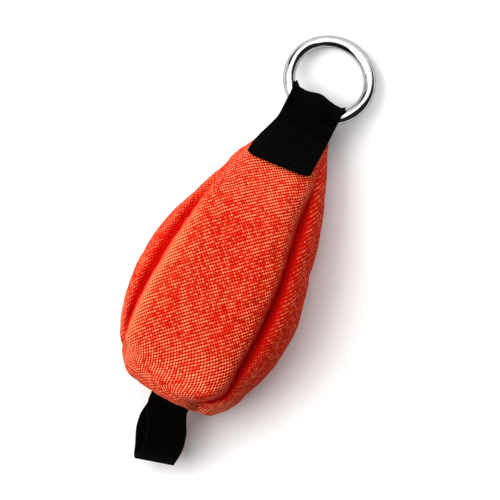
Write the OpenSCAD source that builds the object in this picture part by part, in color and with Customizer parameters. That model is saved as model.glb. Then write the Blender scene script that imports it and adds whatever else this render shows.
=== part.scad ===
// Weighted fabric retrieving and throwing bag: four sewn panels, pellet fill,
// steel ring in a webbing tab at the top and a small webbing loop at the bottom.
// It lies on its back. X is across, Y points to the ring, Z is up.

/* [Bag] */
// Length of the fabric body, bottom seam to neck
bag_len = 110; // [106:1:120]
// Width of the fabric body at its widest
bag_w = 62; // [56:1:68]
// Thickness of the fabric body, lying down
bag_h = 50; // [46:1:56]
// Thickness of the panel fabric
panel_t = 0.9; // [0.7:0.1:1.1]
// Depth of the seam allowances turned inside
allowance = 2.8; // [2:0.1:3]
// Sideways lean of the body, as a share of its thickness
lean = 0.1; // [0:0.01:0.12]
// Height of the front panel's dome, as a share of the thickness
dome = 0.1; // [0.07:0.01:0.14]

/* [Fill] */
// Wall of the inner pouch
liner_t = 0.5; // [0.4:0.1:0.8]
// Room between the pouch and the panels
liner_gap = 3.8; // [3.7:0.1:5]

/* [Ring] */
// Inside diameter of the ring
ring_id = 25.5; // [25:0.1:26]
// Diameter of the ring's wire
wire_d = 4.5; // [4:0.1:4.8]
// Droop of the ring below level, in degrees
ring_droop = 20; // [18:1:22]
// Room between the wire and the webbing fold
fold_clear = 0.35; // [0.3:0.05:0.4]

/* [Tab] */
// Width of the tab at the fold
tab_w = 20.8; // [20:0.1:21]
// Thickness of the tab webbing
tab_t = 1.2; // [1:0.1:1.3]
// Width of the tab at its sewn end
tab_foot_w = 24.7; // [23:0.1:25]

/* [Loop] */
// Width of the loop webbing
loop_w = 15; // [13:0.5:15]
// Thickness of the loop webbing
loop_t = 1.1; // [0.9:0.1:1.1]
// Length of the loop outside the bag
loop_len = 22; // [22:0.1:25]
// Widest gap between the loop's two plies
loop_gap = 14.5; // [13:0.5:16]
// Twist of the loop round its own length, in degrees
loop_twist = 22; // [15:1:25]
// Droop of the loop below level, in degrees
loop_droop = 22; // [18:1:24]

/* [Thread] */
// Thickness of the sewing thread
thread = 0.4; // [0.3:0.05:0.5]
// Length of one stitch
stitch = 2.6; // [2.2:0.1:3.2]

/* [Hidden] */

origin = [0.55, 11.75, 0];      // centre of the whole object's outline
sx = bag_w / 62; sy = bag_len / 110; sz = bag_h / 50;
NP = 8;                        // steps across a panel
SUB = 2;                       // steps between two stations

// Stations from the bottom seam to the neck, at the nominal size:
// along, front-left seam, front-right seam, left side, right side, top, underside
ST = [
  [-48.4, -10.0, 12.0, -10.8, 13.0, 22.1, 17.9],
  [-49.5, -12.5, 12.5, -13.3, 15.5, 28.2, 13.5],
  [-49.7, -14.8, 12.8, -15.6, 18.0, 35.0,  8.5],
  [-48.5, -17.0, 13.2, -17.6, 20.0, 41.2,  4.2],
  [-45.5, -19.0, 15.5, -19.8, 22.4, 45.0,  1.2],
  [-41.0, -21.3, 19.6, -21.9, 24.0, 47.2,  0.0],
  [-35.0, -23.2, 20.5, -24.7, 25.8, 48.8,  0.0],
  [-26.0, -24.4, 20.7, -28.0, 29.2, 49.8,  0.0],
  [-16.0, -25.0, 20.9, -30.0, 31.0, 50.0,  0.0],
  [ -6.0, -24.8, 20.8, -30.3, 31.4, 49.2,  0.0],
  [  4.0, -23.6, 20.3, -29.5, 29.4, 47.5,  0.0],
  [ 14.0, -22.6, 18.6, -26.8, 27.1, 44.5,  0.0],
  [ 24.0, -21.2, 16.9, -22.9, 24.9, 40.5,  0.4],
  [ 33.0, -19.0, 15.9, -19.8, 22.3, 36.0,  1.6],
  [ 42.0, -16.3, 15.0, -17.0, 19.1, 30.5,  4.0],
  [ 50.0, -13.0, 13.2, -13.5, 15.9, 24.5,  7.5],
  [ 56.0, -10.7, 11.9, -11.1, 13.2, 19.2, 11.2],
  [ 60.0,  -9.8, 10.9, -10.0, 11.6, 16.4, 13.6]];
// The front-left seam runs lower on the side towards both ends:
// across, share of the depth below the top
FL = [
  [-10.0, 0.10], [-12.6, 0.14], [-15.0, 0.24], [-17.3, 0.36], [-19.5, 0.38], [-21.7, 0.34],
  [-24.0, 0.24], [-25.2, 0.15], [-25.6, 0.11], [-25.2, 0.10], [-24.2, 0.10], [-23.2, 0.11],
  [-21.8, 0.17], [-19.6, 0.28], [-16.8, 0.34], [-13.2, 0.30], [-10.8, 0.18], [-9.8, 0.10]];
NS = (len(ST) - 1) * SUB;
neck_y = 60 * sy;              // top edge of the fabric
neck_z = 15 * sz;
flex = [1, neck_y + 2.4, neck_z - 0.7];      // where the tab bends
R = ring_id / 2 + wire_d / 2;  // radius of the wire's centre line
rw = wire_d / 2;
grip = R - 2.1;                // tilt axis to the ring's centre
tilt = [1.2, flex[1] + 6.6, rw + (grip + R) * sin(ring_droop)];   // ring's tilt axis
seam = [2.4, -50.6 * sy, 20 * sz];           // where the bottom loop bends

function lerp(a, b, t) = a + (b - a) * t;
function smooth(t) = let(c = min(1, max(0, t))) c * c * (3 - 2 * c);
function unit(v) = v / norm(v);
function spline(a, b, c, d, t) =
  0.5 * (2 * b + (c - a) * t + (2 * a - 5 * b + 4 * c - d) * t * t + (3 * b - a - 3 * c + d) * t * t * t);
function station(s) = let(n = len(ST) - 1, i = min(floor(s), n - 1), t = s - i)
  spline(ST[max(i - 1, 0)], ST[i], ST[i + 1], ST[min(i + 2, n)], t);
function left_seam(s) = let(n = len(FL) - 1, i = min(floor(s), n - 1), t = s - i)
  spline(FL[max(i - 1, 0)], FL[i], FL[i + 1], FL[min(i + 2, n)], t);
// The station at length y, for the part from the middle to the neck
function at_y(y, lo = 8, hi = 17, k = 0) = k > 22 ? (lo + hi) / 2 :
  let(m = (lo + hi) / 2) station(m)[0] * sy < y ? at_y(y, m, hi, k + 1) : at_y(y, lo, m, k + 1);

// The four seams at station s: front left, front right, back right, back left
function corner(k, s) = let(r = station(s), th = r[5] - r[6], q = lean * th,
  zf = r[5] - dome * th, zb = r[6] + 0.1 * th, fl = left_seam(s))
  k == 0 ? [fl[0] * sx, r[0] * sy, (r[5] - (fl[1] - 0.1 + dome) * th) * sz] :
  k == 1 ? [r[2] * sx, r[0] * sy, zf * sz] :
  k == 2 ? [(r[2] + q) * sx, r[0] * sy, zb * sz] : [(r[1] + q) * sx, r[0] * sy, zb * sz];
function hump(t, p) = 1 - pow(abs(2 * t - 1), p);
// A point on the outside of panel k (front, right, back, left) at station s, t from 0 to 1 across it
function skin(k, s, t) = let(a = corner(k, s), b = corner((k + 1) % 4, s), r = station(s),
  th = r[5] - r[6], q = lean * th, d = unit(b - a), n = [-d[2], 0, d[0]],
  low = left_seam(s)[1] - 0.1,
  h = k == 0 ? (dome + 0.39 * low) * th * sz : k == 1 ? (r[4] - r[2] - q / 2) * sx :
      k == 2 ? 0.125 * th * sz : (a[0] + b[0]) / 2 - r[3] * sx,
  p = a + (b - a) * t + n * h * hump(t, k == 2 ? 4 : k == 0 ? 3.8 : 2.6))
  k == 2 ? [p[0], p[1], max(p[2], max(0, r[6]) * sz)] : p;
function heart(s) = let(r = station(s)) [(r[3] + r[4]) / 2 * sx, max(r[0], -36) * sy, (r[5] + r[6]) / 2 * sz];
function outward(k, s, t) = let(e = 0.02, f = 0.1,
  du = skin(k, s, min(1, t + e)) - skin(k, s, max(0, t - e)),
  dv = skin(k, min(17, s + f), t) - skin(k, max(0, s - f), t)) unit(cross(du, dv));
// Depth of the allowance at station s
function turned(s) = let(r = station(s)) min(allowance, 0.19 * (r[5] - r[6]));

// One closed ring of points round panel k's section, with its two turned allowances
function panel_ring(k, s) = let(
  a = corner(k, s), b = corner((k + 1) % 4, s), c = heart(s), f = turned(s),
  da = unit(c - a), db = unit(c - b),
  la0 = b - a - da * ((b - a) * da), lb0 = a - b - db * ((a - b) * db),
  la = unit([la0[0], 0, la0[2]]), lb = unit([lb0[0], 0, lb0[2]]), g = 0.05, t = panel_t,
  end = s < 0.01 || s > 16.99)
  [for (p = concat(
    [a + da * f + la * (g + t), a + da * f + la * g, a + la * g],
    [for (j = [1 : NP - 1]) skin(k, s, j / NP)],
    [b + lb * g, b + db * f + lb * g, b + db * f + lb * (g + t), b + db * 1.1 * t + lb * (g + t)],
    [for (j = [NP - 1 : -1 : 1]) skin(k, s, j / NP) - outward(k, s, j / NP) * t],
    [a + da * 1.1 * t + la * (g + t)])) end ? [p[0], a[1], p[2]] : p];

// A closed skin over rings that all have the same number of points. A slab's rings run along one
// face and back along the other, so its ends are closed as strips.
module loft(rings, turn = false, slab = false) {
  n = len(rings[0]); m = len(rings);
  side = [for (i = [0 : m - 2], j = [0 : n - 1])
    let(a = i * n + j, b = i * n + (j + 1) % n, c = b + n, d = a + n) each [[a, b, c], [a, c, d]]];
  e = (m - 1) * n;
  caps = slab ? [for (j = [0 : n / 2 - 2]) let(p = n - 1 - j) each [[j + 1, j, p], [j + 1, p, p - 1], [e + j, e + j + 1, e + p], [e + j + 1, e + p - 1, e + p]]]
    : [[for (j = [n - 1 : -1 : 0]) j], [for (j = [0 : n - 1]) e + j]];
  faces = concat(side, caps);
  polyhedron([for (r = rings) each r], turn ? faces : [for (f = faces) [for (i = [len(f) - 1 : -1 : 0]) f[i]]], convexity = 6);
}
module place() translate(-origin) children();

module panel(k) place() loft([for (i = [0 : NS]) panel_ring(k, i / SUB)]);

// Thread through both allowances, along the seam k
module seam_thread(k) place() loft([for (i = [2 : NS - 2])
  let(s = i / SUB, a = corner(k, s), c = heart(s), d = unit(c - a),
    e = unit(corner(k, s + 0.1) - corner(k, s - 0.1)), l = unit(cross(d, e)),
    o = a + d * min(1.6, 0.6 * turned(s)), h = thread / 2)
  [o + d * h + l * h, o - d * h + l * h, o - d * h - l * h, o + d * h - l * h]], true);

// A straight stitch from a to b, lying in the plane whose normal is n
module dash(a, b, n, h = thread) {
  x = unit(b - a); y = unit(cross(n, x)); z = cross(x, y);
  multmatrix([[x[0], y[0], z[0], a[0]], [x[1], y[1], z[1], a[1]], [x[2], y[2], z[2], a[2]], [0, 0, 0, 1]])
    translate([0, -thread / 2, -h / 2]) cube([norm(b - a), thread, h]);
}

// ---- tab webbing
// Left and right edges of the sewn tab at length y; the left one flares over the shoulder
function foot_y(x) = neck_y - 15.4 + 0.09 * x;
function tab_left(y) = lerp(-9.6, 11.0 - tab_foot_w, pow(min(1, max(0, (neck_y + 1.5 - y) / 15)), 1.25));
function tab_right(y) = -9.6 + tab_w - 0.4 * smooth((neck_y - y) / 14);
// Height of the front (k = 0) or back (k = 2) of the bag at x, y
function bag_z(k, x, y) = let(s = at_y(min(y, neck_y)), a = corner(k, s), b = corner((k + 1) % 4, s),
  w = b[0] - a[0], t = (x - a[0]) / w, t1 = held(t + (x - skin(k, s, held(t))[0]) / w),
  t2 = held(t1 + (x - skin(k, s, t1)[0]) / w), t3 = held(t2 + (x - skin(k, s, t2)[0]) / w)) skin(k, s, t3)[2];
function held(t) = min(0.97, max(0.03, t));
function mid_z(y) = neck_z - 0.7 * smooth((y - neck_y) / 2.4);
// Inner face of the ply that lies on the bag
function ply_z(k, x, y) = let(o = k == 0 ? 1 : -1, z = bag_z(k, x, y) + o * 0.08)
  y <= neck_y ? z : lerp(z, mid_z(y) + o * 0.06, smooth((y - neck_y) / 1.7));
// Thickness, doubled at the turned-under end
function ply_t(y) = tab_t * (1 + 0.8 * (1 - smooth((y - (neck_y - 11.5)) / 1.6)));
PLY_N = 9;
module ply(k) {
  o = k == 0 ? 1 : -1;
  ys = [for (i = [0 : 10]) i / 10];
  place() loft([for (f = ys) let(
      row = [for (j = [0 : PLY_N]) let(u = j / PLY_N,
        y0 = foot_y(lerp(-12, 10, u)) + 1.2 * pow(abs(2 * u - 1), 8), y = lerp(y0, neck_y + 1.8, f))
        [lerp(tab_left(y), tab_right(y), u), y]])
    concat([for (p = row) [p[0], p[1], ply_z(k, p[0], p[1])]],
           [for (j = [PLY_N : -1 : 0]) let(p = row[j]) [p[0], p[1], ply_z(k, p[0], p[1]) + o * ply_t(p[1])]])], k == 0, true);
}
// Point on the tab's outer face
function face(k, x, y) = [x, y, ply_z(k, x, y) + (k == 0 ? 1 : -1) * (ply_t(y) + thread * 0.2)];
module run(k, a, b) {
  n = max(1, round(norm(b - a) / (stitch + 0.6)));
  for (i = [0 : n - 1]) let(p = lerp(a, b, (i + 0.12) / n), q = lerp(a, b, (i + 0.88) / n))
    dash(face(k, p[0], p[1]), face(k, q[0], q[1]), [0, 0, 1]);
}
// Box of stitching with a line across, on the front (k = 0) or back (k = 2) face
module box_stitch(k) place() {
  bl = [tab_left(neck_y - 12) + 2.2, neck_y - 13.4]; br = [tab_right(neck_y - 12) - 1.9, neck_y - 11.6];
  tl = [tab_left(neck_y - 1) + 1.9, neck_y - 1.2]; tr = [tab_right(neck_y - 1) - 1.9, neck_y - 1.2];
  run(k, bl, br); run(k, br, tr); run(k, tr, tl); run(k, tl, bl);
}

// The fold round the ring, in polar form about the tilt axis. It is wide enough for the ring's arc
// to turn, which is why it flares at both edges and swells in the middle.
function reach(x) = let(u = x - tilt[0], c = sqrt(R * R - u * u)) abs(c - grip) + rw * R / c + fold_clear;
function bore_r(x, a) = let(r = max(3.6, reach(x))) lerp(r, min(r, 4.6), smooth((abs(a) - 125) / 45));
fold_dir = atan2(tilt[2] - flex[2], tilt[1] - flex[1]);
FM = 32; FU = 16;
function fold_x(i) = -9.6 + tab_w * i / FU;
module tab_fold_shape() place() {
  outer = [for (i = [0 : FU]) let(x = fold_x(i)) [for (m = [0 : FM - 1]) let(a = m * 360 / FM - 180,
    r = abs(abs(a) - 180) < 12 ? 6.25 : bore_r(x, a) + tab_t) [x, tilt[1] + r * cos(a + fold_dir), tilt[2] + r * sin(a + fold_dir)]]];
  inner = [for (i = [0 : FU]) let(x = fold_x(i)) [for (m = [0 : FM - 1]) let(a = m * 360 / FM - 180,
    r = bore_r(x, a)) [x, tilt[1] + r * cos(a + fold_dir), tilt[2] + r * sin(a + fold_dir)]]];
  K = (FU + 1) * FM;
  pts = concat([for (r = outer) each r], [for (r = inner) each r]);
  side = [for (i = [0 : FU - 1], m = [0 : FM - 1]) let(a = i * FM + m, b = i * FM + (m + 1) % FM, c = b + FM, d = a + FM)
    each [[a, b, c], [a, c, d], [K + c, K + b, K + a], [K + d, K + c, K + a]]];
  ends = [for (m = [0 : FM - 1]) let(b = (m + 1) % FM, e = FU * FM)
    each [[m, K + m, K + b], [m, K + b, b], [e + K + b, e + K + m, e + m], [e + b, e + K + b, e + m]]];
  polyhedron(pts, [for (f = concat(side, ends)) [f[2], f[1], f[0]]], convexity = 8);
}

// ---- bottom loop webbing
// Centre of the loop at distance s from its flex line, and half the gap between its plies there
function loop_mid(s) = let(r = s * cos(loop_droop)) [seam[0] + 0.215 * r, seam[1] - r, seam[2] - s * sin(loop_droop)];
function loop_half(s) = let(u = s / loop_len) 0.06 + loop_t / 2 +
  (loop_gap / 2 - 0.6) * pow(max(0, sin(180 * pow(u, 1.05))), 0.85) * smooth(u / 0.3 + 0.25);
function loop_turn(s) = let(u = s / loop_len) loop_twist * smooth(u / 0.4) - 9 * smooth((u - 0.6) / 0.4);
LN = 15;
module loop_shape() {
  ax = [0.21, -cos(loop_droop), -sin(loop_droop)]; e = unit(ax);
  up0 = unit([0, -sin(loop_droop), cos(loop_droop)]); rt0 = cross(e, up0);
  first = 1.7;
  s1 = [for (i = [0 : LN]) lerp(first, loop_len - 0.9, pow(i / LN, 1))];
  path = concat([for (s = s1) [s, 1]], [[loop_len, 0.55], [loop_len + 0.3, 0], [loop_len, -0.55]],
    [for (i = [LN : -1 : 0]) [s1[i], -1]]);
  pos = [for (q = path) let(s = min(q[0], loop_len), w = loop_turn(s),
    up = up0 * cos(w) - rt0 * sin(w) * 1) loop_mid(q[0]) + up * (abs(q[1]) == 1 ? q[1] * loop_half(s) : q[1] * loop_half(loop_len - 0.9))];
  place() loft([for (i = [0 : len(path) - 1]) let(s = min(path[i][0], loop_len), w = loop_turn(s),
      side = rt0 * cos(w) + up0 * sin(w),
      tan = unit(pos[min(i + 1, len(path) - 1)] - pos[max(i - 1, 0)]), nrm = unit(cross(side, tan)),
      a = side * loop_w / 2, b = nrm * loop_t / 2, c = pos[i])
    [c + a + b, c + a - b, c - a - b, c - a + b]]);
}

// ---- inner pouch and fill: oval sections inside the panels
function oval(s, inset, k = 1, y = undef) = let(r = station(s), cx = (r[3] + r[4]) / 2 * sx, cz = (r[5] + r[6]) / 2 * sz,
  a = max(0.5, (r[4] - r[3]) / 2 * sx - inset) * k, b = max(0.25, (r[5] - r[6]) / 2 * sz - inset) * k)
  [for (m = [0 : 23]) let(w = m * 15) [cx + a * cos(w), is_undef(y) ? r[0] * sy : y, cz + b * sin(w)]];
POUCH = [for (i = [0 : 19]) 5.7 + i * 9.3 / 19];
module pouch_shape() place() {
  g = liner_gap; y0 = station(5.7)[0] * sy;
  outer = concat([oval(5.7, g, 0.35, y0 - 1.6), oval(5.7, g, 0.75, y0 - 1.0)], [for (s = POUCH) oval(s, g)]);
  inner = concat([for (i = [19 : -1 : 0]) oval(POUCH[i], g + liner_t)],
    [oval(5.7, g + liner_t, 0.75, y0 - 0.4), oval(5.7, g + liner_t, 0.35, y0 - 0.9)]);
  loft(concat(outer, inner), true);
}
module fill_shape() place() {
  g = liner_gap + liner_t + 0.15; y0 = station(5.7)[0] * sy;
  loft(concat([oval(5.7, g, 0.35, y0 - 0.5), oval(5.7, g, 0.75, y0 - 0.2)], [for (i = [0 : 17]) oval(POUCH[i], g)]), true);
}

module front_panel() color("orangered") panel(0);
module right_side_panel() color("orangered") panel(1);
module back_panel() color("orangered") panel(2);
module left_side_panel() color("orangered") panel(3);
module seam_thread_front_left() color("firebrick") seam_thread(0);
module seam_thread_front_right() color("firebrick") seam_thread(1);
module seam_thread_back_right() color("firebrick") seam_thread(2);
module seam_thread_back_left() color("firebrick") seam_thread(3);
// Stitches that close the bottom seam, on both faces
module bottom_seam_thread() color("firebrick") place() for (k = [0, 2], i = [0 : 5])
  let(a = skin(k, 0.22, (i + 0.7) / 7), b = skin(k, 0.22, (i + 1.3) / 7)) dash(a, b, outward(k, 0.22, (i + 1) / 7));
// Line of thread that closes the neck between the tab's plies
module neck_seam_thread() color("firebrick") place() {
  translate([-7, neck_y - 1.7, neck_z - thread / 2]) cube([15, thread, thread]);
  for (i = [0 : 5]) translate([-7 + i * 2.9, neck_y - 1.7, neck_z - 0.95]) cube([thread, thread, 1.9]);
}
module inner_pouch() color("gainsboro") pouch_shape();
module pellet_fill() color("dimgray") fill_shape();
module tab_front_ply() color([0.04, 0.04, 0.045]) ply(0);
module tab_back_ply() color([0.04, 0.04, 0.045]) ply(2);
module tab_fold() color([0.04, 0.04, 0.045]) tab_fold_shape();
module tab_needle_thread() color([0.07, 0.07, 0.075]) box_stitch(0);
module tab_bobbin_thread() color([0.07, 0.07, 0.075]) box_stitch(2);
// Two ends of the loop, side by side inside the bottom seam
module loop_tails() color([0.04, 0.04, 0.045]) place() for (o = [-1, 1])
  translate([seam[0] - loop_w / 2, seam[1] + 2.0, seam[2] + (o < 0 ? -loop_t - 0.04 : 0.04)]) cube([loop_w, 9.4, loop_t]);
// Dense zigzag across the tails, just inside the seam
module loop_bartack() color([0.07, 0.07, 0.075]) place() for (i = [0 : 8])
  translate([seam[0] - 6.2 + i * 1.5, seam[1] + 5, seam[2] - loop_t - 0.3]) cube([thread, 1.8, 2 * loop_t + 0.6]);
module bottom_loop() color([0.04, 0.04, 0.045]) loop_shape();
module o_ring() color("silver") place() translate(tilt) rotate([-ring_droop, 0, 0]) translate([0, grip, 0])
  rotate_extrude($fn = 96) translate([R, 0]) circle(r = rw, $fn = 48);

front_panel();
back_panel();
left_side_panel();
right_side_panel();
seam_thread_front_left();
seam_thread_front_right();
seam_thread_back_left();
seam_thread_back_right();
bottom_seam_thread();
neck_seam_thread();
inner_pouch();
pellet_fill();
tab_front_ply();
tab_back_ply();
tab_fold();
tab_needle_thread();
tab_bobbin_thread();
loop_tails();
loop_bartack();
bottom_loop();
o_ring();
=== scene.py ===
"""Weighted training bumper: a sewn four-panel throw bag with a webbing tab, a steel ring and a
webbing loop. Lengths in the shape functions are millimetres in the bag's own frame; place() moves
them to the row frame in metres."""
import math

import bpy
import numpy as np
from mathutils import Matrix, Vector


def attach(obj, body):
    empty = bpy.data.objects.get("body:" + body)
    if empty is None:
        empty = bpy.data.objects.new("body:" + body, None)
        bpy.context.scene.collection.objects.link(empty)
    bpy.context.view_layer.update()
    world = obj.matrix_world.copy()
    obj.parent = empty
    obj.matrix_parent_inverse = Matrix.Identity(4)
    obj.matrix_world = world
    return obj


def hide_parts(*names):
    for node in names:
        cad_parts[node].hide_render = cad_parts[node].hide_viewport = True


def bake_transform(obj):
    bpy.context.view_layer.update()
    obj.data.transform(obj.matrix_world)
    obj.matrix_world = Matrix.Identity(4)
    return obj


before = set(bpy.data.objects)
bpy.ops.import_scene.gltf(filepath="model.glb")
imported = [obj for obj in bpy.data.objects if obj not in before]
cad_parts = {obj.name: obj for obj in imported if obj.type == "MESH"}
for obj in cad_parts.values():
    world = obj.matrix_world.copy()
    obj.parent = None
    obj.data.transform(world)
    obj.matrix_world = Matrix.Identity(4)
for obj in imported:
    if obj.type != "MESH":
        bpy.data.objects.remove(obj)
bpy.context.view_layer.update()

OFF = np.array([0.55, 11.75, 0.0])


def place(p):
    return (np.asarray(p, float) - OFF) * 0.001


def smooth(t):
    t = np.clip(t, 0, 1)
    return t * t * (3 - 2 * t)


def lerp(a, b, t):
    return a + (b - a) * t


def unit(v):
    return v / np.maximum(np.linalg.norm(v, axis=-1, keepdims=True), 1e-9)


def hashed(i, j, seed):
    h = (i.astype(np.int64) * 374761393 + j.astype(np.int64) * 668265263 + seed * 974711) & 0xFFFFFFFF
    h = ((h ^ (h >> 13)) * 1274126177) & 0xFFFFFFFF
    return ((h ^ (h >> 16)) & 0xFFFF) / 65535.0


def vnoise(x, y, seed=0):
    """Smooth value noise from -1 to 1."""
    x, y = np.broadcast_arrays(np.asarray(x, float), np.asarray(y, float))
    i, j = np.floor(x), np.floor(y)
    u, v = smooth(x - i), smooth(y - j)
    a = lerp(hashed(i, j, seed), hashed(i + 1, j, seed), u)
    b = lerp(hashed(i, j + 1, seed), hashed(i + 1, j + 1, seed), u)
    return lerp(a, b, v) * 2 - 1


# ---------------------------------------------------------------- the bag's skin
# along, front-left seam, front-right seam, left side, right side, top, underside
ST = np.array([
    [-48.4, -10.0, 12.0, -10.8, 13.0, 22.1, 17.9],
    [-49.5, -12.5, 12.5, -13.3, 15.5, 28.4, 13.5],
    [-49.7, -14.8, 12.8, -15.6, 18.0, 35.4, 8.5],
    [-48.5, -17.0, 13.2, -17.6, 20.0, 42.4, 4.2],
    [-45.5, -19.0, 15.5, -19.8, 22.4, 45.8, 1.2],
    [-41.0, -21.3, 19.6, -21.9, 24.0, 47.3, 0.0],
    [-35.0, -23.2, 20.5, -24.7, 25.8, 48.8, 0.0],
    [-26.0, -24.4, 20.7, -28.0, 29.2, 49.8, 0.0],
    [-16.0, -25.0, 20.9, -30.0, 31.0, 50.0, 0.0],
    [-6.0, -24.8, 20.8, -30.3, 31.4, 49.2, 0.0],
    [4.0, -23.6, 20.3, -29.5, 29.4, 47.5, 0.0],
    [14.0, -22.6, 18.6, -26.8, 27.1, 44.5, 0.0],
    [24.0, -21.2, 16.9, -22.9, 24.9, 40.5, 0.4],
    [33.0, -19.0, 15.9, -19.8, 22.3, 36.0, 1.6],
    [42.0, -16.3, 15.0, -17.0, 19.1, 30.5, 4.0],
    [50.0, -13.0, 13.2, -13.3, 15.9, 24.5, 7.5],
    [56.0, -10.7, 11.9, -10.9, 13.2, 19.2, 11.2],
    [60.0, -9.4, 10.9, -9.6, 11.6, 16.4, 13.6]])
LAST = len(ST) - 1


def station(s):
    s = np.clip(np.asarray(s, float), 0, LAST)
    i = np.minimum(np.floor(s).astype(int), LAST - 1)
    t = (s - i)[..., None]
    a, b, c, d = ST[np.maximum(i - 1, 0)], ST[i], ST[i + 1], ST[np.minimum(i + 2, LAST)]
    return 0.5 * (2 * b + (c - a) * t + (2 * a - 5 * b + 4 * c - d) * t * t + (3 * b - a - 3 * c + d) * t ** 3)


# The front-left seam runs low on the side near both ends: station, across, share of the depth below the top
FL = np.array([
    [0, -10.0, 0.43], [1, -12.9, 0.42], [2, -15.4, 0.44], [3, -17.5, 0.46], [4, -19.6, 0.44], [5, -21.7, 0.36],
    [6, -24.0, 0.23], [7, -25.3, 0.13], [8, -25.7, 0.10], [9, -25.3, 0.09], [10, -24.3, 0.09], [11, -23.2, 0.10],
    [12, -21.9, 0.17], [13, -19.7, 0.30], [14, -16.9, 0.36], [15, -13.0, 0.38], [16, -10.6, 0.38], [17, -9.4, 0.38]])


def table(rows, s):
    """Smooth curve through evenly spaced rows."""
    s = np.clip(np.asarray(s, float), 0, len(rows) - 1)
    i = np.minimum(np.floor(s).astype(int), len(rows) - 2)
    t = (s - i)[..., None]
    a, b, c, d = rows[np.maximum(i - 1, 0)], rows[i], rows[i + 1], rows[np.minimum(i + 2, len(rows) - 1)]
    return 0.5 * (2 * b + (c - a) * t + (2 * a - 5 * b + 4 * c - d) * t * t + (3 * b - a - 3 * c + d) * t ** 3)


def drop(k, s):
    """Share of the depth by which the front seams lie below the top."""
    if k == 0:
        return table(FL, s)[..., 2]
    return 0.09 + 0.34 * (1 - smooth(np.asarray(s, float) / 1.8))


def seam_point(k, s):
    """Seam k (front left, front right, back right, back left) at station s, before it sinks in."""
    r = station(s)
    th = r[..., 5] - r[..., 6]
    close = 1 - smooth(np.asarray(s, float) / 1.8)
    zf = r[..., 5] - (drop(k, s) if k < 2 else 0) * th
    zb = r[..., 6] + (0.1 + 0.33 * close) * th
    x = table(FL, s)[..., 1] if k == 0 else r[..., 1] if k == 3 else r[..., 2]
    x = x + (0.1 * th if k >= 2 else 0)
    y = r[..., 0].copy()
    if k == 1:  # the seam is drawn in at the lower right corner
        g = np.exp(-((np.asarray(s, float) - 3.1) / 0.8) ** 2)
        y = y + 2.0 * g
        x = x - 0.3 * g
    return np.stack([x, y, zf if k < 2 else zb], -1)


def heart(s):
    r = station(s)
    return np.stack([(r[..., 3] + r[..., 4]) / 2, np.maximum(r[..., 0], -36), (r[..., 5] + r[..., 6]) / 2], -1)


def sink(k, s):
    """How far each seam sinks in, as a vector. The front seams sink between two rolls of cloth."""
    s = np.asarray(s, float)
    into = unit(heart(s) - seam_point(k, s))
    base = (1.5 if k < 2 else 2.3) * smooth(s / 3.2) * smooth((LAST - s) / 4.5)
    out = into * base[..., None]
    if k == 0:
        out = out + np.array([-0.6, 0, -6.2]) * (smooth((s - 4.8) / 2.2) * smooth((13.4 - s) / 2.6))[..., None]
    elif k == 1:
        out = out + np.array([0.5, 0, -4.8]) * (smooth((s - 1.4) / 1.8) * smooth((16.0 - s) / 3.6))[..., None]
    return out


def drawn(p):
    """How far the two lower corners are drawn up along the bag, at the points p."""
    x, y, z = p[..., 0], p[..., 1], p[..., 2]
    left = 2.2 * np.clip(-x / 17.5, 0, 1.1) ** 1.9 + 1.2 * smooth((-3 - x) / 8) * smooth((z - 29) / 5)
    right = 1.1 * np.clip((x - 9.5) / 7.5, 0, 1.3) ** 2
    return (left + right) * smooth((-35 - y) / 12)


def skin(k, s, t, sunk=True):
    """Outside of panel k (front, right, back, left) at station s, t from 0 to 1 across it."""
    s, t = np.broadcast_arrays(np.asarray(s, float), np.asarray(t, float))
    a, b, r = seam_point(k, s), seam_point((k + 1) % 4, s), station(s)
    th = r[..., 5] - r[..., 6]
    close = 1 - smooth(s / 1.8)
    q = 0.1 * th
    d = unit(b - a)
    n = unit(np.stack([-d[..., 2], np.zeros_like(s), d[..., 0]], -1))
    d0, d1 = drop(0, s), drop(1, s)
    lean = (a[..., 0] + b[..., 0]) / 2
    h = [((d0 + d1) / 2 - 0.11 * np.abs(d0 - d1)) * th, r[..., 4] - lean, (0.125 + 0.31 * close) * th, lean - r[..., 3]][k]
    p = [4.2, 2.3, 4.0, 2.6][k] + 1.6 * close * (k in (0, 2)) + (2.6 * smooth((t - 0.5) / 0.25) * (1 - close) if k == 0 else 0)
    out = a + (b - a) * t[..., None] + n * (h * (1 - np.abs(2 * t - 1) ** p))[..., None]
    if k == 2:
        out[..., 2] = np.maximum(out[..., 2], np.maximum(0, r[..., 6]))
    if k in (0, 2):  # the two lips meet beside the loop's webbing
        shut = (1 - smooth(s / 1.8)) ** 3 * (1 - smooth((9.6 - np.abs(out[..., 0] - 2.4)) / 2.0))
        out[..., 2] = lerp(out[..., 2], 20.0 + (0.8 if k == 0 else -0.8), shut)
    out[..., 1] += drawn(out)
    if not sunk:
        return out
    wide = np.linalg.norm(b - a, axis=-1) * 1.08
    for e, dist in ((k, t * wide), ((k + 1) % 4, (1 - t) * wide)):
        w = 1.45 if k in (0, 2) else 3.8 if k == e == 1 else 3.1
        out = out + sink(e, s) * np.exp(-(dist / w) ** 1.6)[..., None]
    return out


def seam_line(k, s):
    """Where seam k lies after it has sunk in."""
    p = seam_point(k, s)
    p[..., 1] += drawn(p)
    return p + sink(k, s)


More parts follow.
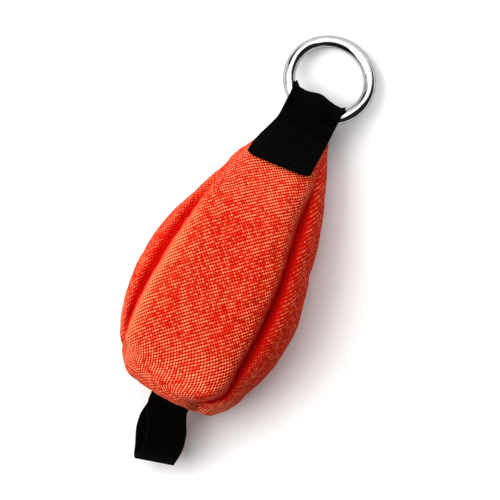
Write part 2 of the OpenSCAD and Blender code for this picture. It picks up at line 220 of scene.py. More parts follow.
# ---------------------------------------------------------------- meshes
def build(name, verts, faces, smooth_shade=True, **attributes):
    """A mesh from arrays of quads or triangles; place() has already been applied."""
    me = bpy.data.meshes.new(name)
    verts = np.ascontiguousarray(verts, np.float32).reshape(-1, 3)
    me.vertices.add(len(verts))
    me.vertices.foreach_set("co", verts.ravel())
    idx = np.concatenate([np.asarray(f).ravel() for f in faces]).astype(np.int32)
    sizes = np.concatenate([np.full(len(f), np.asarray(f).shape[1]) for f in faces])
    me.loops.add(len(idx))
    me.loops.foreach_set("vertex_index", idx)
    me.polygons.add(len(sizes))
    me.polygons.foreach_set("loop_start", np.concatenate([[0], np.cumsum(sizes)[:-1]]).astype(np.int32))
    me.polygons.foreach_set("use_smooth", np.full(len(sizes), smooth_shade))
    me.update(calc_edges=True)
    for key, value in attributes.items():
        value = np.asarray(value, np.float32)
        if value.ndim == 2:
            me.attributes.new(key, "FLOAT_VECTOR", "POINT").data.foreach_set("vector", value.ravel())
        else:
            me.attributes.new(key, "FLOAT", "POINT").data.foreach_set("value", value)
    ob = bpy.data.objects.new(name, me)
    bpy.context.scene.collection.objects.link(ob)
    return ob


def grid(nr, nc, start=0, flip=False, wrap=False):
    """Quads of a grid of nr rows and nc columns of points."""
    r = np.arange(nr - 1)[:, None]
    c = np.arange(nc if wrap else nc - 1)[None, :]
    a = r * nc + c
    b = r * nc + (c + 1) % nc
    q = np.stack([a, b, b + nc, a + nc], -1).reshape(-1, 4) + start
    return q[:, ::-1] if flip else q


def rim(loop_a, loop_b):
    """Quads between two closed loops of point numbers."""
    a, b = np.asarray(loop_a), np.asarray(loop_b)
    return np.stack([a, b, np.roll(b, -1), np.roll(a, -1)], -1)


def border(nr, nc, start=0):
    top = np.arange(nc)
    right = np.arange(1, nr) * nc + nc - 1
    bottom = (nr - 1) * nc + np.arange(nc - 2, -1, -1)
    left = np.arange(nr - 2, 0, -1) * nc
    return np.concatenate([top, right, bottom, left]) + start


def normals(p):
    du = np.gradient(p, axis=1)
    dv = np.gradient(p, axis=0)
    return unit(np.cross(du, dv))


def slab(name, mid, half, edge=0.3, **attributes):
    """A closed strip: mid and half are grids of the middle surface and of half its thickness."""
    nr, nc = mid.shape[:2]
    top, low = mid + half, mid - half
    verts = np.concatenate([top.reshape(-1, 3), low.reshape(-1, 3)])
    n = nr * nc
    ring = border(nr, nc)
    faces = [grid(nr, nc), grid(nr, nc, n, flip=True), rim(ring, ring + n)]
    both = {k: np.concatenate([v.reshape((n,) + v.shape[2:])] * 2) for k, v in attributes.items()}
    return build(name, place(verts), faces, **both)


# ---------------------------------------------------------------- the four panels
STEP = 0.33
WEFT, WARP = math.radians(44.6), math.radians(133.2)
WEFT_PITCH, WARP_PITCH = 1.19, 0.94


def rows():
    s = np.linspace(0, LAST, 4001)
    p = np.maximum.reduce([np.linalg.norm(np.diff(skin(k, s, 0.5), axis=0), axis=1) for k in (0, 2)])
    arc = np.concatenate([[0], np.cumsum(p)])
    n = int(arc[-1] / STEP)
    n += (n + 1) % 2
    return np.interp(np.linspace(0, arc[-1], n), arc, s)


ROWS = rows()


def yarns(u, v, k):
    """Crown numbers along the two diagonals of the weave, where u, v are millimetres in the flat panel."""
    bend = 0.42 * vnoise(u / 15 + 9 * k, v / 15, 3) + 0.16 * vnoise(u / 5, v / 5 + 5 * k, 4)
    turn = 0.34 * vnoise(u / 19 + 3 * k, v / 23 + 7, 5) + 0.12 * vnoise(u / 5 + 4, v / 5 + 2 * k, 6)
    warp = WARP - math.radians(14) * (1 - smooth((v - 26) / 22))  # the cloth is pulled out of square at its foot
    a = (-np.sin(warp) * u + np.cos(warp) * (v - 48) + bend) / WARP_PITCH
    b = (-math.sin(WEFT) * u + math.cos(WEFT) * v + turn) / WEFT_PITCH
    return a + 200.0, b + 200.0


def weave(a, b):
    """Height of the weave, 1 on the crowns and 0 in the gaps between them."""
    return 0.5 + 0.25 * (np.cos(2 * np.pi * (a - 0.5)) + np.cos(2 * np.pi * (b - 0.5)))


# ---------------------------------------------------------------- cloth simulation of the whole skin
SIM_ROWS, SIM_COLS = 69, 14


def cubic(g, fi, fj):
    """Smooth interpolation in a grid of vectors at fractional rows and columns."""
    def four(n, f):
        i = np.clip(np.floor(f).astype(int), 0, n - 2)
        t = f - i
        w = [-0.5 * t + t * t - 0.5 * t ** 3, 1 - 2.5 * t * t + 1.5 * t ** 3, 0.5 * t + 2 * t * t - 1.5 * t ** 3, -0.5 * t * t + 0.5 * t ** 3]
        return [np.clip(i + o, 0, n - 1) for o in (-1, 0, 1, 2)], w
    (ri, rw), (ci, cw) = four(g.shape[0], fi), four(g.shape[1], fj)
    out = 0
    for a in range(4):
        for b in range(4):
            out = out + g[ri[a], ci[b]] * (rw[a] * cw[b])[..., None]
    return out


def inflate():
    """Movement of the skin under pressure, with its seams and both ends held."""
    s = np.linspace(0, LAST, SIM_ROWS)
    t = np.linspace(0, 1, SIM_COLS + 1)[:-1]
    S, T = np.meshgrid(s, t, indexing="ij")
    rest = np.concatenate([skin(k, S, T) for k in range(4)], 1)
    nr, nc = rest.shape[:2]
    ob = build("skin_sim", place(rest.reshape(-1, 3)) * 10, [grid(nr, nc, wrap=True)])
    pin = ob.vertex_groups.new(name="pin")
    i, j = np.divmod(np.arange(nr * nc), nc)
    held = (j % SIM_COLS == 0) | (i < 5) | (i > nr - 12)
    pin.add([int(v) for v in np.nonzero(held)[0]], 1.0, "REPLACE")
    md = ob.modifiers.new("cloth", "CLOTH")
    c = md.settings
    c.quality, c.mass, c.air_damping = 6, 0.25, 3.0
    c.tension_stiffness = c.compression_stiffness = 12.0
    c.shear_stiffness, c.bending_stiffness = 4.0, 0.35
    c.tension_damping = c.compression_damping = 8.0
    c.vertex_group_mass = "pin"
    c.shrink_min = -0.035
    c.use_pressure, c.uniform_pressure_force = True, 4.0
    c.effector_weights.gravity = 0.0
    md.collision_settings.use_self_collision = False
    md.point_cache.frame_start, md.point_cache.frame_end = 1, 20
    scene = bpy.context.scene
    for f in range(1, 21):
        scene.frame_set(f)
    made = ob.evaluated_get(bpy.context.evaluated_depsgraph_get()).to_mesh()
    co = np.empty(len(made.vertices) * 3, np.float32)
    made.vertices.foreach_get("co", co)
    now = co.reshape(nr, nc, 3) / 10 / 0.001 + OFF
    scene.frame_set(1)
    bpy.data.objects.remove(ob)
    move = now - rest
    broad = move.copy()
    for _ in range(14):  # the measured outline already has the broad fullness, so most of it comes off
        broad = (np.roll(broad, 1, 1) + np.roll(broad, -1, 1) + 2 * broad) / 4
        up, dn = np.concatenate([broad[:1], broad[:-1]]), np.concatenate([broad[1:], broad[-1:]])
        broad = (up + dn + 2 * broad) / 4
    seams = (np.arange(nc) % SIM_COLS == 0)[None, :, None]
    move = np.where(seams, 0.0, move - 0.9 * broad)
    size = np.linalg.norm(move, axis=-1, keepdims=True)
    cap = 0.6
    return move * (cap * np.tanh(size / cap) / np.maximum(size, 1e-9))


MOVE = inflate()


def moved(k, S, T):
    """The capped movement at panel k's points."""
    if MOVE is None:
        return 0.0
    g = MOVE[:, np.arange(k * SIM_COLS, (k + 1) * SIM_COLS + 1) % (4 * SIM_COLS)]
    d = cubic(g, S / LAST * (SIM_ROWS - 1), T * SIM_COLS)
    d[..., 1] *= 0.6
    return d * (1.0, 0.3, 0.3, 0.5)[k]


def panel(k, name):
    s = ROWS
    w = np.linalg.norm(skin(k, 8.5, 1.0) - skin(k, 8.5, 0.0)) * 1.14
    nt = int(w / STEP) | 1
    t = np.linspace(0, 1, nt)
    S, T = np.meshgrid(s, t, indexing="ij")
    p = skin(k, S, T) + moved(k, S, T)
    # turned-in allowance at both edges
    c = heart(s)
    na = 6
    depth = np.minimum(1.6, 0.15 * (station(s)[:, 5] - station(s)[:, 6]))
    left, right = [], []
    for j in range(na):
        f = ((na - j) / na) * depth
        la, lb = p[:, 0], p[:, -1]
        da, db = unit(c - la), unit(c - lb)
        left.append(la + da * f[:, None])
        right.insert(0, lb + db * f[:, None])
    q = np.concatenate([np.stack(left, 1), p, np.stack(right, 1)], 1)
    n = normals(q)
    # column counts from each edge of the panel, negative in the turned-in allowance
    dist_left = np.arange(q.shape[1]) - na
    dist_right = q.shape[1] - 1 - na - np.arange(q.shape[1])
    # flat coordinates
    seg = np.linalg.norm(np.diff(q, axis=1), axis=-1)
    u = np.concatenate([np.zeros((len(s), 1)), np.cumsum(seg, 1)], 1)
    mid = q.shape[1] // 2
    u -= u[:, mid:mid + 1]
    vseg = np.linalg.norm(np.diff(q[:, mid], axis=0), axis=-1)
    v = np.broadcast_to(np.concatenate([[0], np.cumsum(vseg)])[:, None], u.shape)
    a, b = yarns(u, v, k)
    # soft lumps of the filling and small puckers along the seams
    y = q[..., 1]
    calm = smooth((52 - y) / 9) * smooth(S[:, :1] / 2.5)
    lumps = 0.20 * vnoise(u / 7.3 + 3.1 * k, v / 7.3 + 11, 11) + 0.12 * vnoise(u / 3.4, v / 3.4 + 5 * k, 12)
    near = np.exp(-(np.maximum(np.minimum(dist_left, dist_right), 0) * STEP / 3.2) ** 2)[None, :]
    pucker = 0.16 * near * vnoise(v / 2.6, u / 9, 20 + k)
    if k == 2:
        lumps = lumps - 0.20
    q = q + n * (calm * (lumps * (0.5 if k == 1 else 1.0) + pucker))[..., None]
    inside = np.minimum(dist_left, dist_right)[None, :] < 0
    q = q + n * (0.10 * (weave(a, b) - 0.7) * np.where(inside, 0.3, 1.0))[..., None]
    q[..., 2] = np.maximum(q[..., 2], 0.0)
    # inner side at half the resolution
    n = normals(q)
    nr, nc = q.shape[:2]
    assert nr % 2 and nc % 2
    inner = (q - n * 0.75)[::2, ::2]
    ir, ic = inner.shape[:2]
    N = nr * nc
    I = np.arange(ir * ic).reshape(ir, ic) + N
    O = np.arange(N).reshape(nr, nc)
    fine = np.concatenate([O[0, :-1], O[:-1, -1], O[-1, :0:-1], O[:0:-1, 0]])
    coarse = np.concatenate([I[0, :-1], I[:-1, -1], I[-1, :0:-1], I[:0:-1, 0]])
    f0, f1, f2 = fine[0::2], fine[1::2], np.roll(fine, -2)[0::2]
    c0, c1 = coarse, np.roll(coarse, -1)
    fans = np.concatenate([np.stack([f0, c0, f1], 1), np.stack([f1, c0, c1], 1), np.stack([f1, c1, f2], 1)])
    verts = np.concatenate([q.reshape(-1, 3), inner.reshape(-1, 3)])
    faces = [grid(nr, nc), grid(ir, ic, N, flip=True), fans]
    at = np.stack([a, b, np.full_like(a, k)], -1)
    e0, e1 = np.maximum(dist_left, 0) * STEP, np.maximum(dist_right, 0) * STEP
    # painted shade: how deep each seam sinks sets a mask that darkens and saturates the cloth in the seam valleys, half
    # as much again along the front-right seam away from its foot
    d0, d1 = (np.linalg.norm(sink(e, s), axis=-1)[:, None] / 6.5 * ((1.5 * smooth((s - 2.4) / 1.6))[:, None] if e == 1 else 1) for e in (k, (k + 1) % 4))
    reach0, reach1 = (1.3, 1.7) if k in (0, 2) else (3.3, 3.3)
    seam_shade = np.maximum(d0 * np.exp(-(e0 / reach0) ** 2), d1 * np.exp(-(e1 / reach1) ** 2))
    yy = station(s)[:, 0][:, None]
    # painted highlight: a paler, peach band along the front's left seam, where the ridge faces the key light
    worn = np.exp(-((e0 - 2.4) / 2.5) ** 2) * (smooth((s - 2.5) / 3) * smooth((13 - s) / 4))[:, None] if k == 0 else 0 * u
    # more of the light weft shows towards both ends, on the front's left part and on the left side, and less on the
    # right side save at its foot: painted highlight where the lamps fall and painted shade on the right side
    stretch = [0.26, 0.10, 0.16, 0.0][k] * smooth((yy - 18) / 22) + [0.16, 0.0, 0.1, 0.1][k] * smooth((-18 - yy) / 16)
    stretch = stretch + (0.18 * smooth((w * 0.28 - e0) / (w * 0.28)) * smooth((36 - yy) / 22) if k == 0 else [0, -0.22 + 0.5 * smooth((-38 - yy) / 7), 0, 0.12][k])
    # the third value carries the painted seam shade mask
    uv = np.stack([u, v, seam_shade], -1)
    stretch = stretch + 0 * u
    if k == 0:  # three slubbed runs of the light yarn across the front
        for x0, y0, x1, y1, amount in ((-1.8, 37.0, 8.3, 28.3, 0.42), (-0.5, 17.0, 5.8, 13.2, 0.30), (-12.4, -11.0, -4.2, -24.3, 0.36)):
            length = math.hypot(x1 - x0, y1 - y0)
            along = ((q[..., 0] - x0) * (x1 - x0) + (q[..., 1] - y0) * (y1 - y0)) / length
            across = ((q[..., 0] - x0) * (y1 - y0) - (q[..., 1] - y0) * (x1 - x0)) / length
            stretch = stretch + amount * np.exp(-(across / 1.1) ** 2) * smooth((along + 1) / 2) * smooth((length + 1 - along) / 2)
    pick = lambda x: np.concatenate([x.reshape(-1, 3), x[::2, ::2].reshape(-1, 3)])
    half = lambda x: np.concatenate([x.ravel(), x[::2, ::2].ravel()])
    return build(name, place(verts), faces, yarn=pick(at), flat=pick(uv), worn=half(worn), stretch=half(stretch))


# ---------------------------------------------------------------- pouch and filling
def inner(name, share, first, last):
    """A closed bag inside the four panels, at that share of the way from the middle to the skin."""
    s = np.linspace(first, last, 75)
    t = np.linspace(0, 1, 25)[:-1]
    S, T = np.meshgrid(s, t, indexing="ij")
    c = heart(s)[:, None]
    p = np.concatenate([skin(k, S, T) for k in range(4)], 1)
    p = c + (p - c) * share
    p[..., 2] = np.maximum(p[..., 2], 1.6 + 10 * (0.85 - share))
    u = np.arange(p.shape[1])[None] * 1.6 + 0 * p[..., 0]
    v = np.arange(len(s))[:, None] * 1.4 + 0 * p[..., 0]
    p = p + normals(p) * (0.35 * vnoise(u / 5, v / 5, 31) + 0.2 * vnoise(u / 2, v / 2, 32))[..., None]
    nr, nc = p.shape[:2]
    ends = [p[0].mean(0) + [0, -0.6, 0], p[-1].mean(0) + [0, 0.6, 0]]
    n = nr * nc
    r = np.arange(nc)
    fan0 = np.stack([np.full(nc, n), (r + 1) % nc, r], 1)
    fan1 = np.stack([np.full(nc, n + 1), n - nc + r, n - nc + (r + 1) % nc], 1)
    return build(name, place(np.concatenate([p.reshape(-1, 3), ends])), [grid(nr, nc, wrap=True), fan0, fan1])


# ---------------------------------------------------------------- tab webbing
NECK_Y, NECK_Z, TAB_W, FOOT_W = 60.0, 15.0, 20.8, 24.7
RING_R, WIRE_R, DROOP = 15.0, 2.25, math.radians(20)
GRIP = RING_R - 2.1
FLEX = np.array([1.0, NECK_Y + 2.4, NECK_Z - 0.7])
TILT = np.array([1.2, FLEX[1] + 6.6, WIRE_R + (GRIP + RING_R) * math.sin(DROOP)])
FOLD_DIR = math.atan2(TILT[2] - FLEX[2], TILT[1] - FLEX[1])
_s = np.linspace(8, LAST, 1201)
_y = station(_s)[:, 0]


def at_y(y):
    return np.interp(y, _y, _s)


def tab_left(y):
    return np.interp(-y, [-62.0, -60.0, -57.5, -55.0, -52.5, -50.0, -47.5, -45.0], [-9.6, -9.9, -10.7, -11.6, -12.5, -13.2, -13.7, -13.9])


def tab_right(y):
    return -9.6 + TAB_W - 0.4 * smooth((NECK_Y - y) / 14)


def foot_y(x):
    return NECK_Y - 15.4 + 0.09 * x


_t = np.linspace(0, 1, 61)
_ROOF = {}
for _k in (0, 2):
    _sk = np.linspace(8, LAST, 181)
    _S, _T = np.meshgrid(_sk, _t if _k == 0 else _t[::-1], indexing="ij")
    _ROOF[_k] = (_sk, skin(_k, _S, _T, False))
_GX = np.linspace(-32, 32, 257)


def bag_z(k, x, y):
    """Height of the bag's front (0) or back (2) at x, y, without the sunk seams, which the webbing bridges."""
    sk, roof = _ROOF[k]
    if sk.shape + (len(_GX),) not in _ROOF:
        for q in (0, 2):
            rr = _ROOF[q][1]
            _ROOF[q, "z"] = np.stack([np.interp(_GX, rr[i, :, 0], rr[i, :, 2]) for i in range(len(sk))])
        _ROOF[sk.shape + (len(_GX),)] = True
    s = at_y(np.minimum(y, NECK_Y))
    fi = np.clip((s - 8) / (LAST - 8) * (len(sk) - 1), 0, len(sk) - 1.001)
    fj = np.clip((x - _GX[0]) / (_GX[1] - _GX[0]), 0, len(_GX) - 1.001)
    i, j = fi.astype(int), fj.astype(int)
    u, v, z = fi - i, fj - j, _ROOF[k, "z"]
    return lerp(lerp(z[i, j], z[i + 1, j], u), lerp(z[i, j + 1], z[i + 1, j + 1], u), v)


def mid_z(y):
    return NECK_Z - 0.7 * smooth((y - NECK_Y) / 2.4)


def ply_z(k, x, y):
    o = 1 if k == 0 else -1
    z = bag_z(k, x, y) + o * 0.08
    if k == 2:  # the flared corner is sewn round the bag's edge
        z = z + 0.55 * np.clip(-11.0 - x, 0, None) ** 1.2
    return np.where(y <= NECK_Y, z, lerp(z, mid_z(y) + o * 0.06, smooth((y - NECK_Y) / 1.7)))


def reach(x):
    c = np.sqrt(RING_R ** 2 - (x - TILT[0]) ** 2)
    return np.abs(c - GRIP) + WIRE_R * RING_R / c + 0.35


def bore_r(x, a):
    r = np.maximum(3.6, reach(x))
    return lerp(r, np.minimum(r, 4.6), smooth((np.abs(a) - 125) / 45))


TAB_T = 1.2
HEM = NECK_Y - 11.5


def tab_strip():
    """Front ply, fold round the ring and back ply in one length of webbing."""
    nc = 107
    e = np.linspace(0, 1, nc)
    u = e + 0.0 * e
    front = np.linspace(0, 1, 64)
    ang = np.linspace(165, -165, 120)
    x0 = lerp(-9.6, 11.2, u)
    y_foot = foot_y(lerp(-12, 10, u)) + 1.2 * np.abs(2 * u - 1) ** 8
    mids, halfs, along = [], [], []
    # front ply from its foot to the neck
    for f in front:
        y = lerp(y_foot, NECK_Y + 1.8, f)
        x = lerp(tab_left(y), tab_right(y), u)
        hem = 1 - smooth((y - HEM) / 1.4)
        t = TAB_T * (1 + 0.8 * hem)
        z = ply_z(0, x, y)
        mids.append(np.stack([x, y, z + t / 2], -1))
        halfs.append(np.stack([0 * x, 0 * x, t / 2], -1))
        along.append(y - y_foot)
    # fold
    x = x0
    for w in ang:
        a = math.radians(w) + FOLD_DIR
        r = bore_r(x, w)
        neck = smooth((abs(w) - 150) / 15)
        ro = lerp(r + TAB_T, 6.35, neck)
        ri = lerp(r, 4.75, neck)
        wave = 0.22 * np.cos((x - 0.9) * 0.83) * math.exp(-(w / 60.0) ** 2)
        dirn = np.array([0, math.cos(a), math.sin(a)])
        po = TILT * [0, 1, 1] + dirn * (ro + wave)[..., None]
        pi = TILT * [0, 1, 1] + dirn * (ri + np.maximum(wave, 0))[..., None]
        po[..., 0] = pi[..., 0] = x
        mids.append((po + pi) / 2)
        halfs.append((po - pi) / 2)
        along.append(along[-1] + 0.3)
    for f in front[::-1]:
        y = lerp(y_foot, NECK_Y + 1.8, f)
        x = lerp(tab_left(y), tab_right(y), u)
        hem = 1 - smooth((y - HEM) / 1.4)
        t = TAB_T * (1 + 0.8 * hem)
        z = ply_z(2, x, y)
        mids.append(np.stack([x, y, z - t / 2], -1))
        halfs.append(np.stack([0 * x, 0 * x, -t / 2], -1))
        along.append(along[-1] + 0.26)
    mid, half = np.stack(mids), np.stack(halfs)
    U = np.broadcast_to(u[None] * TAB_W, mid.shape[:2])
    seg = np.linalg.norm(np.diff(mid[:, nc // 2], axis=0), axis=-1)
    V = np.broadcast_to(np.concatenate([[0], np.cumsum(seg)])[:, None], mid.shape[:2])
    # rounded selvedges and rounded foot folds
    dist = np.minimum(U, TAB_W - U)
    round_x = np.sqrt(np.clip(1 - (1 - np.minimum(dist / 0.55, 1)) ** 2, 0.05, 1))
    d_end = np.minimum(V, V[-1, 0] - V)
    round_y = np.sqrt(np.clip(1 - (1 - np.minimum(d_end / 1.0, 1)) ** 2, 0.05, 1))
    ribs = 0.05 * np.cos(U / 0.78 * 2 * np.pi)
    k = (round_x * round_y)[..., None]
    half = half * k
    half = half + unit(half) * (ribs * (dist > 0.9))[..., None]
    return slab("tab_webbing", mid, half, rib=np.stack([U, V, 0 * U], -1))


# ---------------------------------------------------------------- bottom loop webbing
SEAM = np.array([2.4, -50.6, 20.0])
LOOP_LEN, LOOP_W, LOOP_T, LOOP_GAP, LOOP_TWIST, LOOP_DROOP = 22.6, 15.0, 1.1, 14.5, 22.0, math.radians(22)


def loop_mid(s):
    r = s * math.cos(LOOP_DROOP)
    return np.stack([SEAM[0] + 0.215 * r, SEAM[1] - r, SEAM[2] - s * math.sin(LOOP_DROOP)], -1)


def loop_half(s):
    u = s / LOOP_LEN
    return 0.06 + LOOP_T / 2 + (LOOP_GAP / 2 - 0.6) * np.maximum(0, np.sin(np.pi * np.clip(u, 0, 1) ** 1.22)) ** 0.68 * smooth(u / 0.3 + 0.25)


def loop_turn(s):
    u = s / LOOP_LEN
    return np.radians(LOOP_TWIST * smooth(u / 0.4) - 9 * smooth((u - 0.6) / 0.4))


def loop_strip():
    e = unit(np.array([0.21, -math.cos(LOOP_DROOP), -math.sin(LOOP_DROOP)]))
    up0 = unit(np.array([0, -math.sin(LOOP_DROOP), math.cos(LOOP_DROOP)]))
    rt0 = np.cross(e, up0)
    s1 = np.concatenate([np.linspace(-11.4, 0.0, 24)[:-1], np.linspace(0.0, LOOP_LEN - 0.9, 76)])
    turn = np.linspace(90, -90, 15)[1:-1]
    hs = np.concatenate([s1, LOOP_LEN - 0.9 + 1.2 * np.cos(np.radians(turn)), s1[::-1]])
    sg = np.concatenate([np.ones(len(s1)), np.sin(np.radians(turn)), -np.ones(len(s1))])
    sc = np.clip(hs, 0, LOOP_LEN - 0.9)
    w = loop_turn(sc)
    up = up0 * np.cos(w)[:, None] - rt0 * np.sin(w)[:, None]
    side = rt0 * np.cos(w)[:, None] + up0 * np.sin(w)[:, None]
    inside = smooth(-hs / 1.5)[:, None]
    up = unit(up * (1 - inside) + np.array([0, 0, 1.0]) * inside)
    side = unit(side * (1 - inside) + np.array([1.0, 0, 0]) * inside * np.sign(rt0[0]))
    mid = loop_mid(np.maximum(hs, 0))
    mid[:, 1] = np.where(hs < 0, SEAM[1] - hs, mid[:, 1])
    half = np.where(hs < 0.4, 0.06 + LOOP_T / 2, loop_half(sc))
    pos = mid + up * (sg * half)[:, None]
    tan = unit(np.gradient(pos, axis=0))
    nrm = unit(np.cross(side, tan))
    nc = 61
    c = np.linspace(-1, 1, nc)
    M = pos[:, None] + side[:, None] * (c * LOOP_W / 2)[None, :, None]
    U = np.broadcast_to((c * LOOP_W / 2 + LOOP_W / 2)[None], M.shape[:2])
    seg = np.linalg.norm(np.diff(pos, axis=0), axis=-1)
    V = np.broadcast_to(np.concatenate([[0], np.cumsum(seg)])[:, None], M.shape[:2])
    dist = np.minimum(U, LOOP_W - U)
    round_x = np.sqrt(np.clip(1 - (1 - np.minimum(dist / 0.5, 1)) ** 2, 0.05, 1))
    ribs = 0.04 * np.cos(U / 0.78 * 2 * np.pi) * (dist > 0.8)
    H = nrm[:, None] * ((LOOP_T / 2) * round_x + ribs)[..., None]
    return slab("loop_webbing", M, H, rib=np.stack([U, V, 0 * U + 1], -1))


# ---------------------------------------------------------------- threads and stitches
def tubes(name, paths, radius):
    """One mesh of round threads along the given point rows, tapering into the cloth at both ends."""
    verts, faces, base = [], [], 0
    m = 8
    w = np.linspace(0, 2 * np.pi, m, endpoint=False)
    for path in paths:
        p = np.asarray(path, float)
        n = len(p)
        t = unit(np.gradient(p, axis=0))
        ref = np.tile(np.array([0.0, 0.0, 1.0]), (n, 1))
        ref[np.abs(t[:, 2]) > 0.9] = [1.0, 0, 0]
        x = unit(np.cross(t, ref))
        y = np.cross(x, t)
        r = radius * np.sqrt(np.clip(1 - np.abs(np.linspace(-1, 1, n)) ** 6, 0.06, 1)) if n < 40 else np.full(n, radius)
        twist = radius * 0.12 * np.cos(3 * w[None] + np.arange(n)[:, None] * 1.3)
        q = p[:, None] + (x[:, None] * np.cos(w)[None, :, None] + y[:, None] * np.sin(w)[None, :, None]) * (r[:, None] + twist * (r / radius)[:, None])[..., None]
        verts.append(q.reshape(-1, 3))
        faces.append(grid(n, m, base, wrap=True)[:, ::-1])
        k = np.arange(m)
        verts.append(np.stack([p[0], p[-1]]))
        e = base + n * m
        faces.append(np.stack([np.full(m, e), base + k, base + (k + 1) % m], 1))
        faces.append(np.stack([np.full(m, e + 1), base + (n - 1) * m + (k + 1) % m, base + (n - 1) * m + k], 1))
        base = e + 2
    return build(name, place(np.concatenate(verts)), faces)


def seam_thread(k, name):
    """A lock stitch through both allowances of seam k."""
    s = np.linspace(1.0, LAST - 1.0, 900)
    a = seam_line(k, s)
    c = unit(heart(s) - a)
    arc = np.concatenate([[0], np.cumsum(np.linalg.norm(np.diff(a, axis=0), axis=1))])
    side = unit(np.cross(c, np.gradient(a, axis=0)))
    wave = np.sin(arc / 2.6 * np.pi)
    return tubes(name, [a + c * 1.15 + side * (0.28 * np.sign(wave) * np.abs(wave) ** 0.5)[:, None]], 0.2)


def tab_face(k, x, y, lift=0.1):
    o = 1 if k == 0 else -1
    t = TAB_T * (1 + 0.8 * (1 - smooth((y - HEM) / 1.4)))
    return np.stack([x, y, ply_z(k, x, y) + o * (t + lift)], -1)


def box_stitches(k, name):
    bl = (tab_left(48.0) + 2.2, 46.7)
    br = (tab_right(48.0) - 1.9, 48.5)
    tl = (tab_left(59.0) + 1.9, 58.8)
    tr = (tab_right(59.0) - 1.9, 58.8)
    runs = [(bl, br), (br, tr), (tr, tl), (tl, bl), (bl, tr), (br, tl)][:4]
    paths = []
    for a, b in runs:
        a, b = np.array(a), np.array(b)
        n = max(1, round(np.linalg.norm(b - a) / 3.1))
        for i in range(n):
            f = np.linspace((i + 0.10) / n, (i + 0.90) / n, 12)
            xy = a + (b - a) * f[:, None]
            arch = 0.16 * np.sin(np.linspace(0, np.pi, 12)) ** 0.5 - 0.12
            o = 1 if k == 0 else -1
            q = tab_face(k, xy[:, 0], xy[:, 1], 0.06)
            q[:, 2] += o * arch
            paths.append(q)
    return tubes(name, paths, 0.2)


def bottom_stitches(name):
    """Stitches that close the bottom seam, front and back."""
    paths = []
    for k in (0, 2):
        for i in range(6):
            t = np.linspace((i + 0.7) / 7, (i + 1.3) / 7, 10)
            p = skin(k, 0.22, t)
            out = unit(p - heart(0.22))
            out = np.tile(np.array([0, -0.35, 1.0 if k == 0 else -1.0]), (10, 1))
            paths.append(p + out * (0.1 + 0.12 * np.sin(np.linspace(0, np.pi, 10)))[:, None])
    return tubes(name, paths, 0.2)


# ---------------------------------------------------------------- ring
def ring():
    nu, nv = 192, 48
    u = np.linspace(0, 2 * np.pi, nu, endpoint=False)[:, None]
    v = np.linspace(0, 2 * np.pi, nv, endpoint=False)[None]
    x = (RING_R + WIRE_R * np.cos(v)) * np.cos(u)
    y = (RING_R + WIRE_R * np.cos(v)) * np.sin(u)
    z = WIRE_R * np.sin(v) + 0 * u
    y = y + GRIP
    c, s = math.cos(DROOP), math.sin(DROOP)
    p = np.stack([x, y * c + z * s, -y * s + z * c], -1) + TILT
    r = np.arange(nu)[:, None]
    q = np.arange(nv)[None]
    f = np.stack([r * nv + q, (r + 1) % nu * nv + q, (r + 1) % nu * nv + (q + 1) % nv, r * nv + (q + 1) % nv], -1).reshape(-1, 4)
    at = np.stack(np.broadcast_arrays(u * RING_R, v * WIRE_R, 0 * u * v), -1).reshape(-1, 3)
    return build("round_ring_steel", place(p.reshape(-1, 3)), [f], wire=at)


